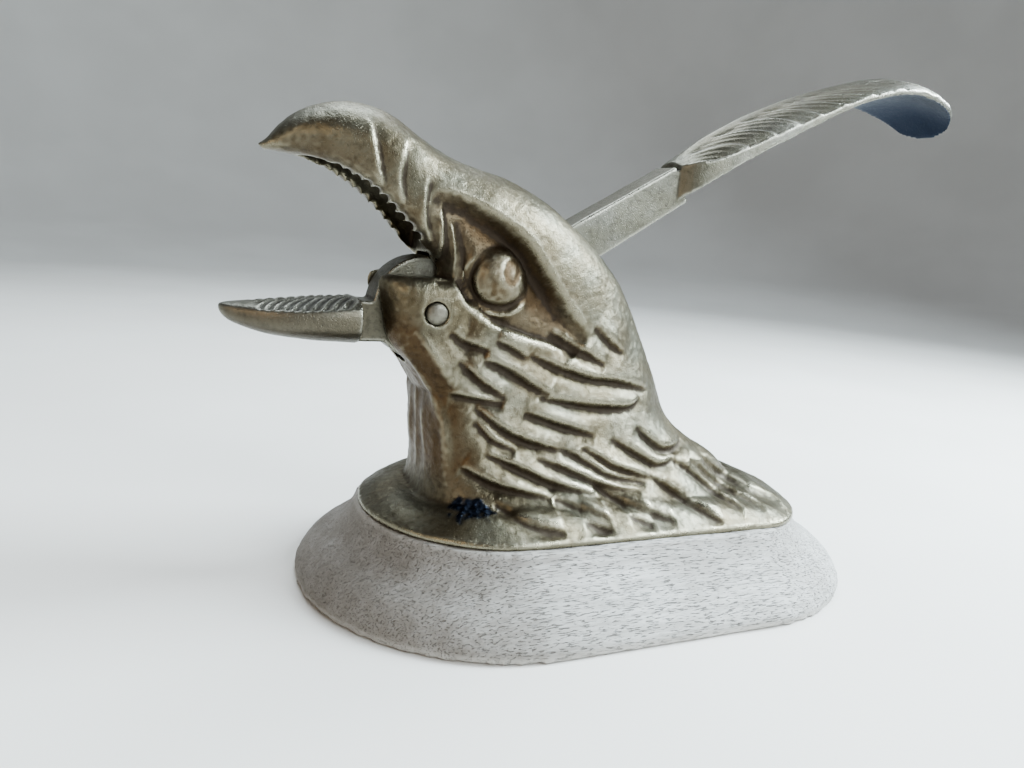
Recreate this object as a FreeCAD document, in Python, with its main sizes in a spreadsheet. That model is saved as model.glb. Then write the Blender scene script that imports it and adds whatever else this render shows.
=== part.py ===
"""Table nutcracker: a cast brass eagle's head on a wooden base, worked by one lever.

Millimetres. The origin is the centre of the base's underside. +Z is up, +X points
from the beak to the handle, and the object is symmetric about the XZ plane.
The eagle's upper beak is the fixed jaw. The lever is one casting: lower beak,
hub, arm and feather-shaped handle. It turns on a rivet through the cheeks.
"""
import FreeCAD, Part
import math
import os
import re
import Sketcher

os.makedirs("parts", exist_ok=True)
doc = FreeCAD.newDocument("eagle_nutcracker")
Vector = FreeCAD.Vector
Y_AXIS = Vector(0, 1, 0)

# ---------------------------------------------------------------- driving sizes

SIZES = [
    # wooden base: a long plan with round ends and a splayed, S-shaped side
    ("base_length", 178, "length of the base at its foot"),
    ("base_width", 113, "width of the base at its foot"),
    ("base_height", 21, "height of the base"),
    ("base_splay", 16.5, "how far the top edge stands in from the foot"),
    ("base_toe", 2.0, "height of the upright band at the foot"),
    ("base_lip", 1.2, "height of the upright band at the top"),
    ("side_curve_radius", 18, "radius of both curves of the S-shaped side"),
    # flange: the casting's foot, which sits on the base
    ("flange_height", 2.3, "thickness of the flange"),
    ("flange_ledge_side", 2.0, "base left bare beside the flange"),
    ("flange_ledge_front", 0.7, "base left bare ahead of the flange"),
    ("flange_ledge_back", 3.2, "base left bare behind the flange"),
    ("flange_back_depth", 27, "depth of the flange's blunt rear end"),
    ("flange_round", 1.4, "rounding of the flange's top edge"),
    # figure: neck and head, set out from the pivot of the lever
    ("pivot_forward", 58.8, "pivot ahead of the base's centre"),
    ("neck_rise", 57.1, "pivot above the top of the base"),
    ("head_height", 50.4, "top of the beak above the pivot"),
    ("foot_ahead", 3.5, "neck's foot ahead of the pivot"),
    ("foot_behind", 126.1, "neck's foot behind the pivot"),
    ("foot_side_gap", 2.2, "neck's foot inside the flange's side"),
    ("tooth_radius", 1.25, "radius of the hollows between the upper teeth"),
    ("rim_width", 4.2, "width of the upper beak's toothed rims"),
    # hollow inside the casting, with two cross ribs that take the screws
    ("wall", 5.0, "wall of the hollow casting"),
    ("core_height", 29, "height of the hollow above the base"),
    ("rib_width", 13, "width of each cross rib"),
    ("rib_height", 14, "height of each cross rib"),
    ("rib_front", 34, "front rib ahead of the base's centre"),
    ("rib_back", 30, "back rib behind the base's centre"),
    # lever
    ("arm_thickness", 10.5, "thickness of the lever's hub and arm"),
    ("slot_clearance", 0.6, "space each side of the arm in its slot"),
    ("hub_radius", 14, "radius of the hub round the pivot"),
    ("hub_clearance", 0.8, "space round the hub in its slot"),
    ("arm_angle", 31.5, "slope of the arm at rest, in degrees"),
    ("arm_length", 86, "pivot to the root of the feather"),
    ("arm_root_depth", 11, "depth of the arm at the feather"),
    ("jaw_reach", 51.4, "pivot to the tip of the lower beak"),
    ("jaw_width", 24, "width of the lower beak"),
    ("feather_length", 105.5, "run of the feather from root to tip"),
    ("feather_width", 30, "greatest width of the feather"),
    ("close_angle", 38, "lever travel from rest to closed, in degrees"),
    ("open_angle", 3, "lever travel from rest to full open, in degrees"),
    ("swing_margin", 1.2, "spare angle at each end of the slot"),
    # pivot rivet
    ("cheek_half", 15.9, "half width of the cheeks at the rivet"),
    ("pin_diameter", 5.6, "diameter of the rivet"),
    ("pin_fit", 0.05, "radial space round the rivet"),
    ("pin_proud", 0.7, "height of each peened end above the cheek"),
    # screws that hold the casting down, from under the base
    ("screw_diameter", 4.0, "diameter of the screw shanks"),
    ("screw_fit", 0.05, "radial space round a screw in the casting"),
    ("screw_grip", 11, "depth of screw in its rib"),
    ("screw_head_diameter", 8.0, "diameter of the screw heads"),
    ("screw_head_height", 2.6, "height of the screw heads"),
    ("screw_slot", 1.2, "width and depth of the driver slot"),
    ("washer_diameter", 11, "outer diameter of the washers"),
    ("washer_height", 1.0, "thickness of the washers"),
    ("washer_fit", 0.3, "radial space round a screw in wood and washer"),
    ("counterbore_depth", 7.0, "depth of the recess for head and washer"),
    ("counterbore_fit", 0.8, "radial space round a washer in its recess"),
    ("screw_side", 13, "back screws from the middle plane"),
]

sheet = doc.addObject("Spreadsheet::Sheet", "Sizes")
for row, (alias, number, note) in enumerate(SIZES, start=1):
    sheet.set(f"A{row}", note)
    sheet.set(f"B{row}", str(number))
    sheet.setAlias(f"B{row}", alias)
doc.recompute()
ALIASES = {alias for alias, _number, _note in SIZES}


def linked(text):
    """The expression text with each size's name pointing at the sheet."""
    return re.sub(r"[a-z_]+", lambda word: "Sizes." + word[0] if word[0] in ALIASES else word[0], text)


def bind(item, prop, text):
    """Drive one property of an object by an expression of named sizes."""
    item.setExpression(prop, linked(text))


def size(text):
    """The present value of an expression of named sizes."""
    return float(sheet.evalExpression(text))


# ------------------------------------------------- places shared by several parts

BASE_TOP = "base_height"
PIVOT_X = "-pivot_forward"
PIVOT_Z = "base_height + neck_rise"
SLOT_WIDTH = "arm_thickness + 2 * slot_clearance"
FLANGE_FRONT = "-base_length / 2 + base_splay + flange_ledge_front"
FLANGE_BACK = "base_length / 2 - base_splay - flange_ledge_back"
FLANGE_HALF = "base_width / 2 - base_splay - flange_ledge_side"
SCREWS = {
    "front": ("-rib_front", "0"),
    "left": ("rib_back", "-screw_side"),
    "right": ("rib_back", "screw_side"),
}


def place(item, x="0", y="0", z="0"):
    """Bind an object's position to three expressions."""
    bind(item, "Placement.Base.x", x)
    bind(item, "Placement.Base.y", y)
    bind(item, "Placement.Base.z", z)


def solid(kind, name, sizes, at=("0", "0", "0"), turn=None):
    """A Part primitive with bound sizes, a bound place and an optional turn."""
    item = doc.addObject(kind, name)
    for prop, text in sizes.items():
        bind(item, prop, text)
    if turn:
        item.Placement.Rotation = FreeCAD.Rotation(*turn)
    place(item, *at)
    return item


def cylinder(name, radius, height, at, turn=None):
    return solid("Part::Cylinder", name, {"Radius": radius, "Height": height}, at, turn)


def fuse(name, shapes):
    item = doc.addObject("Part::MultiFuse", name)
    item.Refine = False
    item.Shapes = shapes
    return item


def cut(name, base, tool):
    item = doc.addObject("Part::Cut", name)
    item.Refine = False
    item.Base = base
    item.Tool = tool
    return item


# ----------------------------------------------------------------- sketch helpers

def new_sketch(body, name, plane, offset_x="0"):
    """A sketch on one of the body's own origin planes, moved along the plane's X."""
    sketch = body.newObject("Sketcher::SketchObject", name)
    support = [item for item in body.Origin.OriginFeatures if item.Role == plane][0]
    sketch.AttachmentSupport = [(support, "")]
    sketch.MapMode = "FlatFace"
    bind(sketch, "AttachmentOffset.Base.x", offset_x)
    return sketch


def pin_down(sketch, edge, end, x, y):
    """Hold one end of an edge at expressions x and y in the sketch."""
    for kind, text in (("DistanceX", x), ("DistanceY", y)):
        number = sketch.addConstraint(Sketcher.Constraint(kind, -1, 1, edge, end, size(text)))
        sketch.setExpression(f"Constraints[{number}]", linked(text))


def outline(sketch, corners):
    """A closed outline through corners (x, y, bulge).

    The bulge names the side that starts at the corner: None for a straight side,
    or +1 or -1 for an arc of side_curve_radius that bows left or right of its way.
    """
    points = [Vector(size(x), size(y), 0) for x, y, _bulge in corners]
    for index, (x, y, bulge) in enumerate(corners):
        start = points[index]
        end = points[(index + 1) % len(points)]
        if bulge is None:
            sketch.addGeometry(Part.LineSegment(start, end), False)
            pin_down(sketch, index, 1, x, y)
            pin_down(sketch, index, 2, *corners[(index + 1) % len(corners)][:2])
            continue
        radius = size("side_curve_radius")
        chord = end - start
        sagitta = radius - math.sqrt(radius ** 2 - (chord.Length / 2) ** 2)
        normal = Vector(-chord.y, chord.x, 0).normalize()
        middle = (start + end) * 0.5 + normal * sagitta * bulge
        arc = Part.Arc(start, middle, end).toShape().Curve
        sketch.addGeometry(Part.Arc(start, middle, end), False)
        counterclockwise = arc.Axis.z > 0 and bulge < 0
        first, second = (1, 2) if counterclockwise else (2, 1)
        pin_down(sketch, index, first, x, y)
        pin_down(sketch, index, second, *corners[(index + 1) % len(corners)][:2])
        number = sketch.addConstraint(Sketcher.Constraint("Radius", index, radius))
        sketch.setExpression(f"Constraints[{number}]", linked("side_curve_radius"))


def circles(sketch, radius, centres):
    """Bound circles at pairs of expressions."""
    for index, (x, y) in enumerate(centres):
        centre = Vector(size(x), size(y), 0)
        sketch.addGeometry(Part.Circle(centre, Vector(0, 0, 1), size(radius)), False)
        pin_down(sketch, index, 3, x, y)
        number = sketch.addConstraint(Sketcher.Constraint("Radius", index, size(radius)))
        sketch.setExpression(f"Constraints[{number}]", linked(radius))


def new_body(name):
    body = doc.addObject("PartDesign::Body", name)
    body.Label = name
    return body


def pad_both_ways(body, name, sketch, length):
    """A pad that grows equally to both sides of its sketch."""
    pad = body.newObject("PartDesign::Pad", name)
    pad.Profile = sketch
    pad.SideType = "Symmetric"
    bind(pad, "Length", length)
    return pad


# -------------------------------------------------------------------- lofted shapes

def half_ring(front, back, half_width, front_power, back_power, count=11):
    """Points of one half of a section, from its back point round +Y to its front point.

    The power says how square each quarter is: 2 is an ellipse, and more is flatter.
    """
    centre = (front + back) * 0.5
    reach = (back - front) * 0.5
    points = []
    for step in range(count):
        angle = math.pi * step / (count - 1)
        along = round(math.cos(angle), 9)
        across = round(math.sin(angle), 9)
        power = back_power if along >= 0 else front_power
        along = math.copysign(abs(along) ** (2 / power), along)
        across = across ** (2 / power)
        points.append(centre + reach * along + Y_AXIS * (half_width * across))
    return points


def ring(*section):
    """The whole section as a smooth closed wire."""
    half = half_ring(*section)
    other = [Vector(point.x, -point.y, point.z) for point in reversed(half[1:-1])]
    curve = Part.BSplineCurve()
    curve.interpolate(half + other, PeriodicFlag=True)
    return Part.Wire([curve.toShape()])


def feature(name, shape):
    """An object that holds a shape made here."""
    if shape.Volume < 0:
        shape.reverse()
    item = doc.addObject("Part::Feature", name)
    item.Shape = shape
    return item


def loft(name, sections):
    """A smooth closed solid through closed wires."""
    return feature(name, Part.makeLoft(sections, True, False))


def skin(name, halves):
    """A smooth solid through half sections and their mirror images, with flat ends."""
    surface = Part.BSplineSurface()
    surface.interpolate(halves)
    faces = [surface.toShape()]
    for end in surface.bounds()[:2]:
        edge = surface.uIso(end).toShape()
        middle = Part.makeLine(edge.Vertexes[0].Point, edge.Vertexes[1].Point)
        faces.append(Part.makeRuledSurface(edge, middle))
    faces += [face.mirror(Vector(), Y_AXIS) for face in faces]
    shell = Part.makeShell(faces)
    shell.sewShape()
    body = Part.Solid(shell)
    body.fix(0.001, 0.001, 0.01)
    return feature(name, body)


def middle_point(x, z):
    return Vector(x, 0, z)


# ------------------------------------------------------------------- wooden base

def make_base():
    """The base: a padded middle and two round ends, bored from below for screws."""
    body = new_body("wooden_base")
    toe = "base_toe"
    top = "base_height - base_lip"
    waist = "(base_height - base_lip + base_toe) / 2"

    def side(half, sign):
        """Corners up one side, from the foot to the top edge."""
        outer = f"{sign} * ({half})"
        middle = f"{sign} * ({half} - base_splay / 2)"
        inner = f"{sign} * ({half} - base_splay)"
        return [
            (outer, "0", None),
            (outer, toe, -1),
            (middle, waist, 1),
            (inner, top, None),
            (inner, "base_height", None),
        ]

    across = new_sketch(body, "base_section", "YZ_Plane")
    up = side("base_width / 2", "1")
    down = [(x, y, None) for x, y, _bulge in reversed(side("base_width / 2", "-1"))]
    for lower, bulge in ((1, 1), (2, -1)):
        down[lower] = (down[lower][0], down[lower][1], bulge)
    outline(across, up + down)
    pad_both_ways(body, "base_middle", across, "base_length - base_width")

    end = new_sketch(body, "base_end_section", "XZ_Plane", "(base_length - base_width) / 2")
    outline(end, [("0", "0", None)] + side("base_width / 2", "1") + [("0", "base_height", None)])
    turned = body.newObject("PartDesign::Revolution", "base_end")
    turned.Profile = end
    turned.ReferenceAxis = (end, ["V_Axis"])
    turned.Angle = 180
    turned.Midplane = True
    doc.recompute()
    mirrored = body.newObject("PartDesign::Mirrored", "base_other_end")
    mirrored.Originals = [turned]
    plane = [item for item in body.Origin.OriginFeatures if item.Role == "YZ_Plane"][0]
    mirrored.MirrorPlane = (plane, [""])
    body.Tip = mirrored

    for name, radius, depth in (
        ("screw_holes", "screw_diameter / 2 + washer_fit", "base_height"),
        ("counterbores", "washer_diameter / 2 + counterbore_fit", "counterbore_depth"),
    ):
        doc.recompute()
        volume = body.Shape.Volume
        plan = new_sketch(body, name + "_plan", "XY_Plane")
        circles(plan, radius, SCREWS.values())
        pocket = body.newObject("PartDesign::Pocket", name)
        pocket.Profile = plan
        pocket.Reversed = True
        bind(pocket, "Length", depth)
        doc.recompute()
        if not body.Shape.Volume < volume:
            raise RuntimeError(name + " cut nothing")
    return body


# ------------------------------------------------------------------- eagle's body

def make_flange():
    """The flange: round at the front and blunter at the back."""
    half = FLANGE_HALF
    front = cylinder(
        "flange_front", half, "flange_height", (f"{FLANGE_FRONT} + {half}", "0", BASE_TOP))
    length = f"({FLANGE_BACK} - flange_back_depth) - ({FLANGE_FRONT} + {half})"
    middle = solid(
        "Part::Box", "flange_middle",
        {"Length": length, "Width": f"2 * ({half})", "Height": "flange_height"},
        (f"{FLANGE_FRONT} + {half}", f"-({half})", BASE_TOP))
    rear_edge = solid(
        "Part::Ellipse", "flange_back_edge",
        {"MajorRadius": half, "MinorRadius": "flange_back_depth"},
        (f"{FLANGE_BACK} - flange_back_depth", "0", BASE_TOP), (Vector(0, 0, 1), 90))
    rear = doc.addObject("Part::Extrusion", "flange_back")
    rear.Base = rear_edge
    rear.DirMode = "Custom"
    rear.Dir = Vector(0, 0, 1)
    rear.Solid = True
    bind(rear, "LengthFwd", "flange_height")
    plate = fuse("flange_plate", [front, middle, rear])
    plate.Refine = True
    doc.recompute()
    top = size(f"{BASE_TOP} + flange_height")
    rounded = doc.addObject("Part::Fillet", "flange")
    rounded.Base = plate
    rounded.Edges = [
        (number, size("flange_round"), size("flange_round"))
        for number, edge in enumerate(plate.Shape.Edges, start=1)
        if min(vertex.Z for vertex in edge.Vertexes) > top - 1e-6
    ]
    return rounded


def neck_sections(inset=0.0, top_share=None):
    """Sections of the neck from the flange up to the pivot.

    Each row holds the heights of the front and back points as shares of neck_rise,
    the front and back points from the pivot, and how much of the foot's flare is left.
    An inset draws the hollow's skin, a wall's thickness inside, up to top_share.
    """
    neck_back = 83.8
    neck_half = 19.5
    rows = [
        (0.03, 0.03, None, None, 1.00, 2.4, 2.0),
        (0.16, 0.16, 2.0, None, 0.45, 3.2, 2.1),
        (0.37, 0.37, 1.2, None, 0.10, 3.8, 2.2),
        (0.54, 0.54, 0.6, 83.8, 0.00, 3.8, 2.2),
        (0.72, 0.74, 0.4, 77.8, -0.05, 3.6, 2.2),
        (0.89, 0.98, 0.6, 68.8, -0.07, 3.2, 2.2),
    ]
    back_flare = [1.0, 0.62, 0.26]
    foot_front = size(f"{PIVOT_X} - foot_ahead")
    foot_back = size(f"{PIVOT_X} + foot_behind")
    foot_half = size(f"{FLANGE_HALF} - foot_side_gap")
    pivot_x = size(PIVOT_X)
    base_top = size(BASE_TOP)
    rise = size("neck_rise")
    sections = []
    for number, (low, high, front, back, flare, front_power, back_power) in enumerate(rows):
        front_x = foot_front if front is None else pivot_x + front
        if back is None:
            back_x = pivot_x + neck_back + back_flare[number] * (foot_back - pivot_x - neck_back)
        else:
            back_x = pivot_x + back
        half = neck_half + flare * (foot_half - neck_half)
        if top_share is not None and high > top_share:
            break
        sections.append(half_ring(
            middle_point(front_x + inset, base_top + low * rise),
            middle_point(back_x - inset, base_top + high * rise),
            half - inset, front_power, back_power))
    return sections


def head_sections():
    """Sections fanned from the level of the pivot over the crown to the beak's tip.

    Each row holds front x and z, back x and z and the half width, in hundredths of
    head_height from the pivot, and how square the under and upper halves are.
    """
    rows = [
        (3.6, 4.0, 109.0, 31.5, 35.7, 2.8, 2.1),
        (3.6, 17.5, 79.0, 54.4, 36.0, 2.8, 2.1),
        (1.0, 26.0, 35.3, 73.2, 34.5, 3.4, 2.1),
        (-7.0, 33.0, 3.6, 81.2, 31.5, 4.2, 2.1),
        (-18.3, 44.5, -19.0, 94.0, 30.0, 4.6, 2.0),
        (-36.0, 58.0, -42.0, 99.4, 28.0, 4.6, 1.9),
        (-54.0, 67.5, -64.0, 93.6, 21.0, 4.0, 1.9),
        (-70.0, 71.4, -76.8, 83.4, 11.5, 3.0, 2.0),
        (-83.5, 71.8, -86.0, 74.2, 2.8, 2.0, 2.0),
    ]
    share = size("head_height") / 100
    pivot = middle_point(size(PIVOT_X), size(PIVOT_Z))
    return [
        half_ring(
            pivot + middle_point(front_x, front_z) * share,
            pivot + middle_point(back_x, back_z) * share,
            half * share, front_power, back_power)
        for front_x, front_z, back_x, back_z, half, front_power, back_power in rows
    ]


def make_cheeks():
    """The chin and cheeks ahead of the neck, on both sides of the hub."""
    rows = [
        (-56.0, 9.0, 0.95),
        (-44.0, 2.0, 1.02),
        (-34.0, -5.0, 1.03),
        (-24.0, -14.0, 1.02),
        (-16.0, -20.5, 1.00),
        (-4.0, -24.5, 1.00),
        (8.0, -27.0, 0.98),
        (14.0, -28.0, 0.92),
        (17.5, -25.0, 0.79),
    ]
    share = size("head_height") / 100
    half = size("cheek_half")
    pivot = middle_point(size(PIVOT_X), size(PIVOT_Z))
    back_x = 40.0
    return skin("cheeks", [
        half_ring(
            pivot + middle_point(front_x, height) * share,
            pivot + middle_point(back_x, height) * share,
            half * width, 2.6, 2.0)
        for height, front_x, width in rows
    ])


def make_mouth_channel():
    """The hollow between the toothed rims, under the upper beak."""
    rows = [
        (-1.0, 26.0, 2.0, 52.0, 31.5),
        (-14.0, 37.0, -8.0, 64.0, 30.0),
        (-34.0, 52.0, -30.0, 78.0, 28.0),
        (-56.0, 63.0, -54.0, 80.0, 21.0),
        (-66.0, 68.5, -66.0, 75.5, 12.5),
    ]
    share = size("head_height") / 100
    rim = size("rim_width")
    pivot = middle_point(size(PIVOT_X), size(PIVOT_Z))
    return loft("mouth_channel", [
        ring(
            pivot + middle_point(front_x, front_z) * share,
            pivot + middle_point(back_x, back_z) * share,
            half * share - rim, 3.0, 2.2)
        for front_x, front_z, back_x, back_z, half in rows
    ])


def make_teeth():
    """Hollows across both rims that leave the upper beak's teeth standing."""
    first = (-11.0, 37.5)
    last = (-51.0, 66.0)
    count = 10
    hollows = []
    for number in range(count):
        share = number / (count - 1)
        across = first[0] + share * (last[0] - first[0])
        bow = 4.0 * math.sin(math.pi * share)
        up = first[1] + share * (last[1] - first[1]) + bow
        hollows.append(cylinder(
            f"tooth_hollow_{number + 1}", "tooth_radius", "head_height",
            (f"{PIVOT_X} + ({across}) * head_height / 100", "head_height / 2",
             f"{PIVOT_Z} + ({up}) * head_height / 100"),
            (Vector(1, 0, 0), 90)))
    return hollows


def make_lever_slot():
    """The slot that the hub and the arm swing in, from the mouth to the nape."""
    body = new_body("lever_slot")
    reach = "(arm_length + hub_radius + 30)"
    over = "(arm_angle + open_angle + swing_margin)"
    under = "(arm_angle + 1.5 - close_angle - swing_margin)"
    round_hub = "(hub_radius + hub_clearance)"

    disc = new_sketch(body, "hub_space_plan", "XZ_Plane")
    circles(disc, round_hub, [(PIVOT_X, PIVOT_Z)])
    pad_both_ways(body, "hub_space", disc, SLOT_WIDTH)

    def beside(angle, offset, along="0"):
        """A point off the pivot: along the angle, and offset to its left."""
        return (
            f"{PIVOT_X} + ({along}) * cos({angle} * 1deg) - ({offset}) * sin({angle} * 1deg)",
            f"{PIVOT_Z} + ({along}) * sin({angle} * 1deg) + ({offset}) * cos({angle} * 1deg)",
            None)

    wedge = new_sketch(body, "arm_space_plan", "XZ_Plane")
    outline(wedge, [
        beside(over, "2 * hub_clearance"),
        beside(under, f"-{round_hub}"),
        beside(under, f"-{round_hub}", reach),
        beside(over, "2 * hub_clearance", reach),
    ])
    pad_both_ways(body, "arm_space", wedge, SLOT_WIDTH)

    mouth = new_sketch(body, "mouth_space_plan", "XZ_Plane")
    floor = f"{PIVOT_Z} - 0.84 * hub_radius"
    roof = f"{PIVOT_Z} + {round_hub}"
    ahead = f"{PIVOT_X} - 2.2 * hub_radius"
    outline(mouth, [
        (PIVOT_X, floor, None),
        (PIVOT_X, roof, None),
        (ahead, roof, None),
        (ahead, floor, None),
    ])
    pad_both_ways(body, "mouth_space", mouth, SLOT_WIDTH)
    return body


def make_core():
    """The hollow inside the neck, open below, less the two cross ribs."""
    inside = neck_sections(size("wall"), 0.8)[2:]
    floor = size(BASE_TOP) - 2 * size("flange_height")
    below = [Vector(point.x, point.y, floor) for point in inside[0]]
    hollow = skin("core_skin", [below] + inside)
    top = solid(
        "Part::Box", "core_limit",
        {"Length": "base_length", "Width": "base_width", "Height": "core_height + flange_height"},
        ("-base_length / 2", "-base_width / 2", f"{BASE_TOP} - flange_height"))
    limited = doc.addObject("Part::MultiCommon", "core_space")
    limited.Shapes = [hollow, top]
    ribs = [
        solid(
            "Part::Box", name,
            {"Length": "rib_width", "Width": "base_width", "Height": "rib_height + flange_height"},
            (f"{x} - rib_width / 2", "-base_width / 2", f"{BASE_TOP} - flange_height"))
        for name, x in (("front_rib", "-rib_front"), ("back_rib", "rib_back"))
    ]
    return cut("core", limited, fuse("ribs", ribs))


def make_eagle():
    """The whole brass casting."""
    figure = skin("figure", neck_sections() + head_sections())
    blank = fuse("casting_blank", [make_flange(), figure, make_cheeks()])
    pin_bore = cylinder(
        "pin_bore", "pin_diameter / 2 + pin_fit", "base_width",
        (PIVOT_X, "base_width / 2", PIVOT_Z), (Vector(1, 0, 0), 90))
    pilots = [
        cylinder(f"pilot_{name}", "screw_diameter / 2 + screw_fit", "screw_grip + 1.5", (x, y, BASE_TOP))
        for name, (x, y) in SCREWS.items()
    ]
    tools = {
        "lever_slot": make_lever_slot(),
        "mouth_channel": make_mouth_channel(),
        "core": make_core(),
        "pin_bore": pin_bore,
        "pilots": fuse("pilots", pilots),
        "teeth": fuse("tooth_hollows", make_teeth()),
    }
    eagle = blank
    for name, tool in tools.items():
        eagle = cut(f"casting_with_{name}", eagle, tool)
    eagle.Label = "eagle_body"
    return eagle


# ---------------------------------------------------------------------- the lever

def make_arm():
    """Hub, arm and the short neck that carries the lower beak, one even thickness."""
    body = new_body("lever_arm")
    hub = new_sketch(body, "hub_plan", "XZ_Plane")
    circles(hub, "hub_radius", [(PIVOT_X, PIVOT_Z)])
    pad_both_ways(body, "hub", hub, "arm_thickness")

    def along_arm(along, offset):
        angle = "arm_angle * 1deg"
        return (
            f"{PIVOT_X} + ({along}) * cos({angle}) - ({offset}) * sin({angle})",
            f"{PIVOT_Z} + ({along}) * sin({angle}) + ({offset}) * cos({angle})",
            None)

    arm = new_sketch(body, "arm_plan", "XZ_Plane")
    outline(arm, [
        along_arm("0", "0"),
        along_arm("0", "-hub_radius"),
        along_arm("arm_length + 1", "-arm_root_depth"),
        along_arm("arm_length + 1", "0"),
    ])
    pad_both_ways(body, "arm", arm, "arm_thickness")

    neck = new_sketch(body, "jaw_neck_plan", "XZ_Plane")
    outline(neck, [
        (PIVOT_X, f"{PIVOT_Z} - 0.66 * hub_radius", None),
        (PIVOT_X, f"{PIVOT_Z} + 0.1 * hub_radius", None),
        (f"{PIVOT_X} - 0.4 * jaw_reach", f"{PIVOT_Z} + 0.1 * hub_radius", None),
        (f"{PIVOT_X} - 0.4 * jaw_reach", f"{PIVOT_Z} - 0.66 * hub_radius", None),
    ])
    pad_both_ways(body, "jaw_neck", neck, "arm_thickness")
    return body


def make_jaw():
    """The lower beak: flat on top, round below, drawn out to a point.

    Rows: distance ahead of the pivot, top and bottom heights, in hundredths of
    jaw_reach, and the share of the jaw's width.
    """
    rows = [
        (35.0, 4.1, -19.6, 0.98),
        (56.0, 2.3, -18.7, 1.00),
        (71.0, 0.6, -17.3, 0.88),
        (85.0, -1.0, -14.8, 0.62),
        (93.0, -1.8, -12.0, 0.40),
        (98.0, -2.4, -8.6, 0.20),
        (100.0, -2.9, -5.2, 0.06),
    ]
    share = size("jaw_reach") / 100
    half = size("jaw_width") / 2
    pivot = middle_point(size(PIVOT_X), size(PIVOT_Z))
    return loft("jaw", [
        ring(
            pivot + middle_point(-ahead, bottom) * share,
            pivot + middle_point(-ahead, top) * share,
            half * width, 2.2, 3.6)
        for ahead, top, bottom, width in rows
    ])


def feather_section(centre, half, crown, edge, middle):
    """An arched strip across the feather: crown above its edges, thin at the edges."""
    left = centre + Y_AXIS * half - Vector(0, 0, crown)
    right = centre - Y_AXIS * half - Vector(0, 0, crown)
    drop = Vector(0, 0, edge)
    over = Part.Arc(left, centre, right).toShape()
    under_middle = centre - Vector(0, 0, middle)
    under = Part.Arc(right - drop, under_middle, left - drop).toShape()
    sides = [
        Part.LineSegment(right, right - drop).toShape(),
        Part.LineSegment(left - drop, left).toShape(),
    ]
    return Part.Wire([over, sides[0], under, sides[1]])


def make_feather():
    """The handle: a broad arched feather that rises, levels out and curls down.

    Rows: run from the root and rise of the crest in hundredths of feather_length,
    share of the width, then crown, edge thickness and middle thickness.
    """
    rows = [
        (0.0, 0.0, 0.36, 1.4, 9.6, 12.0),
        (5.5, 4.2, 0.64, 3.6, 7.6, 10.8),
        (15.5, 10.9, 0.74, 6.4, 4.8, 9.2),
        (29.5, 18.4, 0.78, 6.9, 3.6, 7.4),
        (43.5, 24.5, 0.82, 6.0, 2.9, 6.0),
        (58.5, 29.8, 0.88, 4.2, 2.2, 4.8),
        (67.5, 32.4, 0.93, 3.9, 2.2, 4.4),
        (76.0, 34.2, 0.98, 4.1, 2.5, 4.2),
        (83.5, 34.3, 1.00, 4.6, 2.5, 4.2),
        (89.5, 32.9, 0.96, 4.3, 2.6, 4.2),
        (94.0, 30.4, 0.88, 3.2, 2.8, 4.2),
        (97.3, 27.2, 0.72, 1.9, 3.2, 4.4),
        (99.2, 24.2, 0.46, 0.9, 3.2, 4.0),
        (100.0, 22.2, 0.20, 0.3, 2.6, 2.8),
    ]
    share = size("feather_length") / 100
    half = size("feather_width") / 2
    angle = math.radians(size("arm_angle"))
    reach = size("arm_length")
    pivot = middle_point(size(PIVOT_X), size(PIVOT_Z))
    root = pivot + middle_point(math.cos(angle), math.sin(angle)) * reach + middle_point(2.5, 2.3)
    return loft("feather", [
        feather_section(root + middle_point(run, rise) * share, half * width, crown, edge, middle)
        for run, rise, width, crown, edge, middle in rows
    ])


def make_lever():
    blank = fuse("lever_blank", [make_arm(), make_jaw(), make_feather()])
    bore = cylinder(
        "lever_bore", "pin_diameter / 2 + pin_fit", "base_width",
        (PIVOT_X, "base_width / 2", PIVOT_Z), (Vector(1, 0, 0), 90))
    lever = cut("lever", blank, bore)
    lever.Label = "lever"
    return lever


# ---------------------------------------------------------------- pin and fasteners

def make_pin():
    """The rivet: a plain pin with a low dome peened on each end."""
    body = new_body("pivot_pin")
    profile = new_sketch(body, "pin_half", "XY_Plane")
    length = "cheek_half + pin_proud"
    outline(profile, [
        ("0", f"-({length})", None),
        ("0.32 * pin_diameter", f"-({length})", None),
        ("0.5 * pin_diameter", f"-({length}) + 0.16 * pin_diameter", None),
        ("0.5 * pin_diameter", f"({length}) - 0.16 * pin_diameter", None),
        ("0.32 * pin_diameter", length, None),
        ("0", length, None),
    ])
    turned = body.newObject("PartDesign::Revolution", "pin_turned")
    turned.Profile = profile
    turned.ReferenceAxis = (profile, ["V_Axis"])
    turned.Angle = 360
    place(body, PIVOT_X, "0", PIVOT_Z)
    return body


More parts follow.
